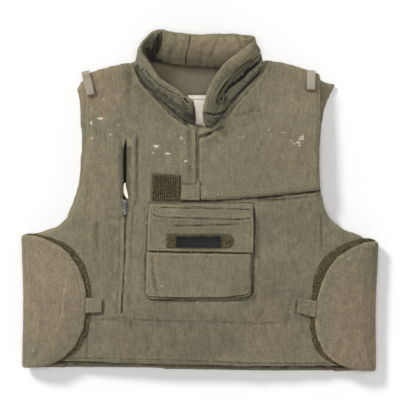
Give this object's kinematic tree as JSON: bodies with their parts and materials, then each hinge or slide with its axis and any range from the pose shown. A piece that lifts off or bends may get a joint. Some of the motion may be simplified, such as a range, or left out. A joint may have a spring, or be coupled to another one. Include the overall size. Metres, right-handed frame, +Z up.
{
  "type": "flak vest",
  "caption": "Padded flak vest lying on its back, with a standing collar, an overlapping chest flap, side flaps that close round the waist and a flapped chest pocket.",
  "frame": {"origin": "under the middle of the vest's bounding box, on the surface that the vest lies on", "axes": "+Z up out of the surface, from the back panel to the front panel; +X along the width, to the wearer's left; +Y from the hem to the collar"},
  "size_m": [0.5682, 0.5436, 0.094],
  "materials": {
    "olive_canvas": "matte worn canvas",
    "loop_tape": "matte brushed loops",
    "pale_tape": "matte woven tape",
    "black_rubber": "satin",
    "white_label": "matte",
    "grey_metal": "worn satin",
    "zip_tape": "matte"
  },
  "bodies": {
    "root": {"back_panel": "olive_canvas", "front_panel": "olive_canvas", "chest_flap": "olive_canvas", "closure_tongue": "olive_canvas", "loop_square": "loop_tape", "collar": "olive_canvas", "collar_zip_left": "zip_tape", "collar_zip_right": "zip_tape", "collar_slider_left": "grey_metal", "collar_slider_right": "grey_metal", "side_flap_left": "olive_canvas", "side_flap_right": "olive_canvas", "loop_field_left": "loop_tape", "loop_field_right": "loop_tape", "pull_tab_left": "olive_canvas", "pull_tab_right": "olive_canvas", "pocket_body": "olive_canvas", "pocket_flap": "olive_canvas", "flap_loop_strip": "loop_tape", "blank_patch": "black_rubber", "zip_tape_left": "zip_tape", "zip_tape_right": "zip_tape", "zip_slider": "grey_metal", "zip_pull": "grey_metal", "neck_label": "white_label", "shoulder_loop_left": "pale_tape", "shoulder_loop_right": "pale_tape"}
  },
  "joints": []
}
